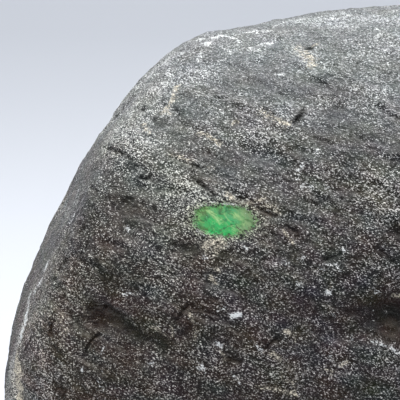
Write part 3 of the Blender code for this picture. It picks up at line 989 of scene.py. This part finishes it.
jadeEdges = {
    "teal": (0.40, 0.62),
    "vivid": (0.30, 0.55),
    "mottle": (0.54, 0.34),
    "milk": (0.44, 0.70),
    "olive": (0.62, 0.42),
    "faded": (0.30, 0.55),
    "crack": (0.40, 1.00),
}
windowEdges = {  # the same across the rim of the window, which is at 1
    "jade": (0.97, 1.14),
    "rimStart": (0.94, 1.02),
    "rimEnd": (1.04, 1.16),
    "middle": (1.02, 1.36),
    "polish": (1.10, 1.34),
}
milkWeights = {"jadePale": 0.7, "jadeVivid": -0.35, "nearRim": 0.20}


def rindParts(tree, place, layers):  # what the rind is made up of, by name
    fabric = turnedPlace(tree, place, *rindLook["fabric"])  # dips to the right, and the grains lie flat in it
    layered = turnedPlace(tree, place, *rindLook["layers"])
    parts = dict(layers, fabric=fabric)
    for name, where in (("blotch", fabric), ("patch", place), ("strata", layered)):
        parts[name] = calc(tree, "SUBTRACT", noiseAt(tree, where, *rindNoise[name]), 0.5)
    ridges = noiseAt(tree, layered, *rindNoise["ridges"], settings={"noise_type": "RIDGED_MULTIFRACTAL"})
    parts["crevice"] = ramp(tree, ridges, *rindEdges["crevice"])
    wobble = newNode(tree, "ShaderNodeTexNoise", Vector=place, Scale=rindLook["loosenPer"],
                     Detail=1.0).outputs["Color"]
    loose = vectorCalc(tree, "MULTIPLY_ADD", wobble, [rindLook["loosen"]] * 3, place)
    speckGroup = buildSpeckGroup()
    for name in ("specks", "pits"):
        cell, share = rindLook[name]
        parts[name] = groupNode(tree, speckGroup, Vector=loose, Cell_Mm=cell, Share=share).outputs["Mask"]
    height = newNode(tree, "ShaderNodeSeparateXYZ", Vector=place).outputs["Z"]
    parts["raised"] = calc(tree, "SUBTRACT", height, rindLook["evenHeight"])
    crumble = calc(tree, "SUBTRACT", noiseAt(tree, fabric, *rindNoise["crumble"]), 0.5)
    for name, ragged in crumbled.items():
        mark = calc(tree, "MULTIPLY_ADD", crumble, ragged, layers[name])
        parts[name] = ramp(tree, mark, *rindEdges[name])
    parts["tint"] = ramp(tree, noiseAt(tree, place, *rindNoise["tint"]), *rindEdges["tint"])
    parts["whitest"] = ramp(tree, layers["chalk"], *rindEdges["whitest"])
    return parts


def addGrain(tree, place, parts):  # puts the grain's tone and height among the parts
    parts["weatheringAndPaintedLight"] = weighed(tree, rindLook["coverage"], rindWeights["weatheringAndPaintedLight"], parts)
    coverage = weighed(tree, parts["weatheringAndPaintedLight"], rindWeights["coverage"], parts)
    strong = ramp(tree, noiseAt(tree, place, *rindNoise["strong"]), *rindEdges["strong"])
    spread = product(tree, blendValues(tree, strong, *rindLook["spread"]),
                  weighed(tree, 1.0, rindWeights["spread"], parts))
    grain = groupNode(tree, buildGrainGroup(), Vector=parts["fabric"], Grain_Mm=rindLook["grainMm"],
                      Spread=spread, Coverage=coverage)
    parts["tone"], parts["grainHeight"] = grain.outputs["Tone"], grain.outputs["Height"]


def brightnessOf(tree, parts):
    swollen = calc(tree, "EXPONENT", product(tree, parts["tone"], rindLook["contrast"]))
    peak = math.exp(rindLook["contrast"])
    share = calc(tree, "MULTIPLY_ADD", swollen, 1 / (peak - 1), -1 / (peak - 1))
    ground = rindLook["ground"]
    # painted light: the ground is painted lighter where the skin faces the sky
    topLitTone = calc(tree, "MULTIPLY_ADD", parts["skyward"], rindLook["topLitGround"] - ground, ground)
    brightness = calc(tree, "MULTIPLY_ADD", share, rindLook["grain"], topLitTone)
    # painted shade in the hollows and cracks darkens the skin, together with the soot
    shadedShare = calc(tree, "MULTIPLY_ADD", parts["sootAndShade"], rindLook["sootAndShadeDark"], 1.0)
    return product(tree, brightness, shadedShare)


def hueOf(tree, place, parts, brightness, inward):  # ground and grains share the hue of their place
    warmth = weighed(tree, -0.06, rindWeights["warmth"], parts)
    warmth = calc(tree, "ADD", warmth, 0.0, clamp=True)
    grey = ramp(tree, noiseAt(tree, place, *rindNoise["grey"]), *rindEdges["grey"])
    light = ramp(tree, parts["weatheringAndPaintedLight"], *rindEdges["light"])
    blue = product(tree, parts["blue"], rindShares["blue"])
    hue = layOn(tree, rindLook["hueDark"], [
        (light, rindLook["hueLight"]),
        (product(tree, grey, rindShares["grey"]), rindLook["hueGrey"]),
        (warmth, rindLook["hueWarm"]),
        (parts["skyTint"], rindLook["hueSky"]),
        (blue, rindLook["hueBlue"]),
    ])
    stain = noiseAt(tree, parts["fabric"], rindLook["stainMm"], 1.0, 0.6, output="Color")
    stained = vectorCalc(tree, "MULTIPLY_ADD", stain, rindLook["stain"], rindLook["clean"])
    cleanSky = product(tree, parts["skyTint"], rindShares["cleanSky"])
    stained = blendColours(tree, cleanSky, stained, (1, 1, 1, 1))
    hue = vectorCalc(tree, "MULTIPLY", hue, stained)
    # bright grains are paler than the ground: the tint fades as they get brighter
    tinting = calc(tree, "DIVIDE", brightness, rindLook["tintedAt"])
    tinting = calc(tree, "POWER", tinting, rindLook["tintFade"])
    tinting = calc(tree, "MINIMUM", tinting, rindLook["tintMost"])
    neutral = blendColours(tree, parts["skyTint"], rindLook["hueNeutral"], rindLook["hueNeutralSky"])
    strayed = vectorCalc(tree, "SUBTRACT", hue, neutral)
    spare = newNode(tree, "ShaderNodeCombineXYZ", X=tinting, Y=tinting, Z=tinting).outputs[0]
    hue = vectorCalc(tree, "MULTIPLY_ADD", strayed, spare, neutral)
    tinge = product(tree, parts["tinge"], rindShares["tinge"])
    tinged = calc(tree, "MAXIMUM", ramp(tree, inward, *rindEdges["tinge"]), tinge)
    return layOn(tree, hue, [
        (product(tree, tinged, rindShares["tinged"]), rindLook["hueTinged"]),
        (product(tree, parts["cream"], rindShares["cream"]), rindLook["hueCream"]),
    ])


def rindColourOf(tree, parts, brightness, hue):
    powder = weighed(tree, 0.50, rindWeights["powder"], parts)
    powder = product(tree, parts["chalk"], powder, clamp=True)
    blown = calc(tree, "MULTIPLY_ADD", parts["skyward"], rindLook["dustyPowder"], 1.0)
    crust = calc(tree, "MULTIPLY_ADD", parts["tone"], *rindLook["crust"])
    return layOn(tree, (0, 0, 0, 1), [
        (brightness, hue),
        (product(tree, powder, blown), rindLook["chalk"]),
        (product(tree, parts["cream"], crust), rindLook["cream"]),
    ])


def jadeColourOf(tree, place, layers, inward, veins):
    clouds = noiseAt(tree, place, *jadeNoise["clouds"])
    lively = product(tree, layers["jadeVivid"], ramp(tree, clouds, *jadeEdges["vivid"]))
    mottle = ramp(tree, noiseAt(tree, place, *jadeNoise["mottle"]), *jadeEdges["mottle"])
    mottle = product(tree, mottle, jadeLook["mottleShare"])
    nearRim = calc(tree, "SUBTRACT", 1.0, ramp(tree, inward, *windowEdges["middle"]))
    milk = weighed(tree, ramp(tree, veins, *jadeEdges["milk"]), milkWeights, dict(layers, nearRim=nearRim))
    milk = product(tree, milk, jadeLook["milkShare"], clamp=True)
    strokes, veined, start = jadeLook["palest"]
    palest = calc(tree, "MULTIPLY_ADD", veins, veined, start)
    palest = calc(tree, "MULTIPLY_ADD", layers["jadePale"], strokes, palest, clamp=True)
    olive = product(tree, layers["jadeOlive"], ramp(tree, veins, *jadeEdges["olive"]))
    faded = product(tree, layers["jadeFaded"], ramp(tree, veins, *jadeEdges["faded"]))
    return layOn(tree, jadeLook["green"], [
        (ramp(tree, clouds, *jadeEdges["teal"]), jadeLook["teal"]),
        (lively, jadeLook["vivid"]),
        (mottle, jadeLook["shade"]),
        (milk, jadeLook["milky"]),
        (palest, jadeLook["pale"]),
        (olive, jadeLook["olive"]),
        (faded, jadeLook["faded"]),
    ])


def buildSkin():
    skin = bpy.data.materials.new("rindAndJade")
    skin.use_nodes = True
    tree = skin.node_tree
    shader = tree.nodes["Principled BSDF"]
    place = newNode(tree, "ShaderNodeTexCoord").outputs["Object"]
    layers = {kind: layerOf(tree, kind) for kind in paintKinds + ["skyward", "skyTint", "windowInward"]}
    # the painted light from above is taken off where the skin is marked for it
    topLightKept = calc(tree, "MULTIPLY_ADD", layers["topLightOff"], rindLook["topLightCut"], 1.0, clamp=True)
    layers["skyward"] = product(tree, layers["skyward"], topLightKept)
    parts = rindParts(tree, place, layers)
    addGrain(tree, place, parts)
    inward = weighed(tree, layers["windowInward"], rindWeights["inward"], parts)
    veins = noiseAt(tree, turnedPlace(tree, place, *jadeLook["streaks"]), *jadeNoise["veins"])

    brightness = brightnessOf(tree, parts)
    rindColour = rindColourOf(tree, parts, brightness, hueOf(tree, place, parts, brightness, inward))
    jadeColour = jadeColourOf(tree, place, layers, inward, veins)
    jade = ramp(tree, inward, *windowEdges["jade"])
    rim = calc(tree, "SUBTRACT", 1.0, ramp(tree, inward, *windowEdges["rimEnd"]))
    rim = product(tree, ramp(tree, inward, *windowEdges["rimStart"]), rim)
    broken = product(tree, ramp(tree, parts["tone"], *rindEdges["broken"]), rindShares["broken"])
    chipped = product(tree, parts["chalk"], product(tree, jade, broken))
    # painted shade in the cracks of the jade
    cracked = product(tree, ramp(tree, layers["sootAndShade"], *jadeEdges["crack"]), jade)
    colour = layOn(tree, rindColour, [
        (jade, jadeColour),
        (product(tree, rim, broken), jadeLook["rim"]),
        (chipped, rindLook["chalk"]),
        (cracked, jadeLook["crack"]),
    ])
    tree.links.new(colour, shader.inputs["Base Color"])

    rough = weighed(tree, rindLook["roughness"], rindWeights["roughness"], parts)
    polish = ramp(tree, inward, *windowEdges["polish"])
    tree.links.new(blendValues(tree, polish, rough, jadeLook["roughness"]), shader.inputs["Roughness"])
    tree.links.new(product(tree, polish, jadeLook["coat"]), shader.inputs["Coat Weight"])
    shader.inputs["Coat Roughness"].default_value = rindLook["coatRoughness"]
    shader.inputs["Specular IOR Level"].default_value = rindLook["specular"]
    shader.inputs["Sheen Weight"].default_value = rindLook["dust"]
    shader.inputs["Sheen Roughness"].default_value = rindLook["dustRoughness"]

    height = weighed(tree, 0.0, rindWeights["height"], parts)
    jadeHeight = calc(tree, "MULTIPLY_ADD", veins, jadeLook["veinHeight"], 0.0)
    bump = newNode(tree, "ShaderNodeBump", Strength=1.0, Distance=1.0,
                   Height=blendValues(tree, jade, height, jadeHeight))
    tree.links.new(bump.outputs["Normal"], shader.inputs["Normal"])
    return skin


stone.data.materials.append(buildSkin())
print("skin painted")

# the pale bowl of the studio and its light

studio = {
    "floorRadius": 2.4,
    "sweepRadius": 1.2,
    "wallHeight": 2.4,
    "sweepSteps": 10,
    "paint": (0.37, 0.385, 0.412, 1),
    "glow": (0.80, 0.84, 0.92, 1),
    "glowStrength": 0.260,
    "paintRoughness": 0.9,
    "paintSpecular": 0.1,
    "facets": 96,
    "worldColour": (0.80, 0.86, 1.0, 1),
    "worldStrength": 0.24,
}
softboxes = {  # place, size, watts, degrees that it is turned towards the back
    "overheadSoftbox": ((0, 0.15, 1.25), 1.1, 31, 0),
    "rearSoftbox": ((0, 2.1, 1.9), 1.8, 28, 0),
    "frontSoftbox": ((-0.3, -1.9, 1.5), 1.4, 34, 54),
}


def buildStudio():
    bpy.ops.object.select_all(action="DESELECT")
    bpy.ops.mesh.primitive_circle_add(vertices=studio["facets"], radius=studio["floorRadius"],
                                      fill_type="NGON")
    bowl = bpy.context.object
    bowl.name = "studioFloor"
    bpy.ops.object.mode_set(mode="EDIT")
    bpy.ops.mesh.select_mode(type="EDGE")
    bpy.ops.mesh.select_all(action="SELECT")
    bpy.ops.mesh.region_to_loop()
    bend = math.pi / 2 / studio["sweepSteps"]
    radius, height = studio["floorRadius"], 0
    for step in range(1, studio["sweepSteps"] + 1):  # one ring of the curve from the floor up to the wall
        newRadius = studio["floorRadius"] + studio["sweepRadius"] * math.sin(bend * step)
        newHeight = studio["sweepRadius"] * (1 - math.cos(bend * step))
        bpy.ops.mesh.extrude_region_move(TRANSFORM_OT_translate={"value": (0, 0, newHeight - height)})
        grow = newRadius / radius
        bpy.ops.transform.resize(value=(grow, grow, 1), center_override=(0, 0, 0))
        radius, height = newRadius, newHeight
    bpy.ops.mesh.extrude_region_move(TRANSFORM_OT_translate={"value": (0, 0, studio["wallHeight"] - height)})
    bpy.ops.mesh.select_all(action="SELECT")
    bpy.ops.mesh.normals_make_consistent(inside=True)
    bpy.ops.object.mode_set(mode="OBJECT")
    bpy.ops.object.shade_smooth()
    pale = bpy.data.materials.new("studioPaint")
    pale.use_nodes = True
    shader = pale.node_tree.nodes["Principled BSDF"]
    shader.inputs["Base Color"].default_value = studio["paint"]
    shader.inputs["Roughness"].default_value = studio["paintRoughness"]
    shader.inputs["Specular IOR Level"].default_value = studio["paintSpecular"]
    shader.inputs["Emission Color"].default_value = studio["glow"]
    shader.inputs["Emission Strength"].default_value = studio["glowStrength"]
    bowl.data.materials.append(pale)


def addSoftbox(name, place, size, watts, turn):
    bpy.ops.object.light_add(type="AREA", location=place, rotation=(math.radians(turn), 0, 0))
    box = bpy.context.object
    box.name = name
    box.data.shape = "SQUARE"
    box.data.size = size
    box.data.energy = watts
    box.visible_camera = False


def lightWorld():
    world = bpy.data.worlds.new("studioAir")
    world.use_nodes = True
    air = world.node_tree.nodes["Background"]
    air.inputs["Color"].default_value = studio["worldColour"]
    air.inputs["Strength"].default_value = studio["worldStrength"]
    bpy.context.scene.world = world
    bpy.context.scene.view_settings.view_transform = "Standard"


buildStudio()
for name, settings in softboxes.items():
    addSoftbox(name, *settings)
lightWorld()
print("studio lit")

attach(stone, "root")
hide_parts("boulder")
